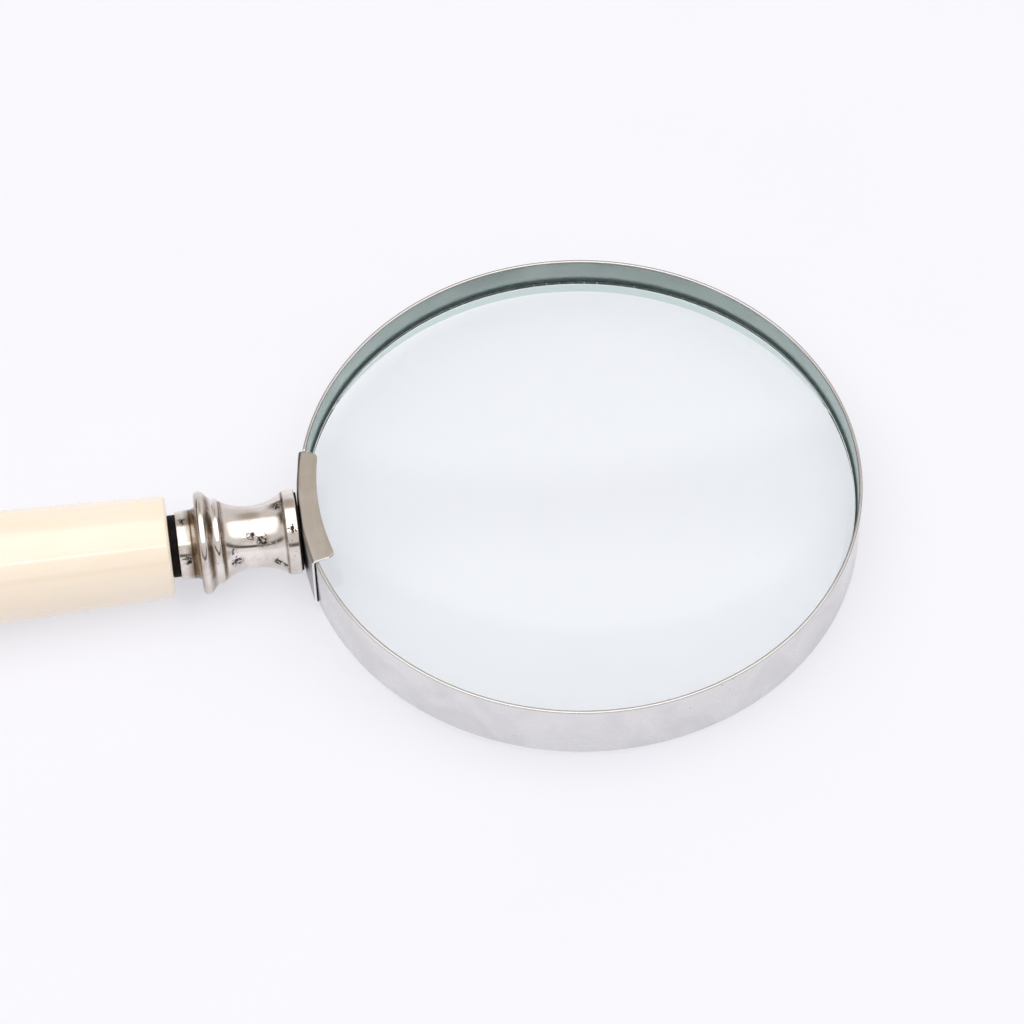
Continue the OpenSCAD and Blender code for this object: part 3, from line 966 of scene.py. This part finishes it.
def add_world():
    """A light tent: pale walls, a soft panel overhead, and a few darker openings low down."""
    world = bpy.data.worlds.new("light_tent")
    world.use_nodes = True
    bpy.context.scene.world = world
    tree = world.node_tree
    background = tree.nodes["Background"]
    way = tree.nodes.new("ShaderNodeTexCoord").outputs["Generated"]

    def nearness(direction, full, end):
        """1 within full degrees of a direction, falling smoothly to 0 at end degrees."""
        dot = tree.nodes.new("ShaderNodeVectorMath")
        dot.operation = "DOT_PRODUCT"
        tree.links.new(way, dot.inputs[0])
        dot.inputs[1].default_value = Vector(direction).normalized()
        fade = tree.nodes.new("ShaderNodeMapRange")
        fade.interpolation_type = "SMOOTHSTEP"
        fade.inputs["From Min"].default_value = math.cos(math.radians(end))
        fade.inputs["From Max"].default_value = math.cos(math.radians(full))
        tree.links.new(dot.outputs["Value"], fade.inputs["Value"])
        return fade.outputs["Result"]

    def over(share, below, colour):
        node = tree.nodes.new("ShaderNodeMix")
        node.data_type = "RGBA"
        tree.links.new(share, node.inputs["Factor"])
        if isinstance(below, bpy.types.NodeSocket):
            tree.links.new(below, node.inputs[6])
        else:
            node.inputs[6].default_value = (*below, 1.0)
        node.inputs[7].default_value = (*colour, 1.0)
        return node.outputs[2]

    def calc(operation, first, second):
        node = tree.nodes.new("ShaderNodeMath")
        node.operation = operation
        for socket, value in zip(node.inputs, (first, second)):
            if isinstance(value, bpy.types.NodeSocket):
                tree.links.new(value, socket)
            else:
                socket.default_value = value
        return node.outputs["Value"]

    def rise(value, low, high):
        """0 below low, 1 above high, smooth between them. It falls instead when low is the larger."""
        node = tree.nodes.new("ShaderNodeMapRange")
        node.interpolation_type = "SMOOTHSTEP"
        tree.links.new(value, node.inputs["Value"])
        node.inputs["From Min"].default_value = min(low, high)
        node.inputs["From Max"].default_value = max(low, high)
        node.inputs["To Min"].default_value = 0.0 if low < high else 1.0
        node.inputs["To Max"].default_value = 1.0 if low < high else 0.0
        return node.outputs["Result"]

    split = tree.nodes.new("ShaderNodeSeparateXYZ")
    tree.links.new(way, split.inputs["Vector"])
    height = split.outputs["Z"]
    steep = calc("MAXIMUM", height, 0.02)
    across = calc("ABSOLUTE", calc("DIVIDE", split.outputs["X"], steep), 0.0)
    away = calc("DIVIDE", split.outputs["Y"], steep)
    panel = rise(across, PANEL_HALF_WIDTH + PANEL_SOFT, PANEL_HALF_WIDTH - PANEL_SOFT)
    panel = calc("MULTIPLY", panel, rise(away, PANEL_AWAY + PANEL_SOFT / 2, PANEL_AWAY - PANEL_SOFT / 2))
    panel = calc("MULTIPLY", panel, rise(away, -PANEL_TOWARDS - PANEL_SOFT, -PANEL_TOWARDS + PANEL_SOFT))
    panel = calc("MULTIPLY", panel, rise(height, *PANEL_LOW_EDGE))
    sill = calc("MULTIPLY", rise(height, *SILL_FOOT), rise(height, *SILL_TOP))
    sill = calc("MULTIPLY", sill, rise(split.outputs["Y"], *SILL_SIDE))
    light = over(nearness((0, 0, 1), 30, 90), TENT_WALL_LOW, TENT_WALL_HIGH)
    for direction, full, end, colour in TENT_PATCHES:
        light = over(nearness(direction, full, end), light, colour)
    light = over(sill, light, SILL_LEVEL)
    light = over(panel, light, PANEL_LEVEL)
    tree.links.new(light, background.inputs["Color"])
    background.inputs["Strength"].default_value = TENT_LEVEL


def add_lamp(name, place, size, watts, colour, mirrored):
    """A rectangular lamp at place, facing the hoop. Surfaces reflect it only if it is mirrored."""
    data = bpy.data.lights.new(name, "AREA")
    data.shape = "RECTANGLE"
    data.size, data.size_y = size
    data.energy = watts
    data.color = colour
    lamp = bpy.data.objects.new(name, data)
    bpy.context.scene.collection.objects.link(lamp)
    lamp.location = place
    lamp.visible_glossy = mirrored
    lamp.visible_transmission = mirrored
    lamp.rotation_euler = (-Vector(place)).to_track_quat("-Z", "Y").to_euler()


add_floor()
add_world()
add_lamp("key_panel", (-0.95, 0.80, 0.95), (0.8, 0.8), 1.6, (1.0, 0.99, 0.98), False)
add_lamp("strip", (0.0, -0.56, 0.90), (0.9, 0.035), 0.6, (1.0, 0.99, 0.97), True)
bpy.context.scene.view_settings.view_transform = "Standard"
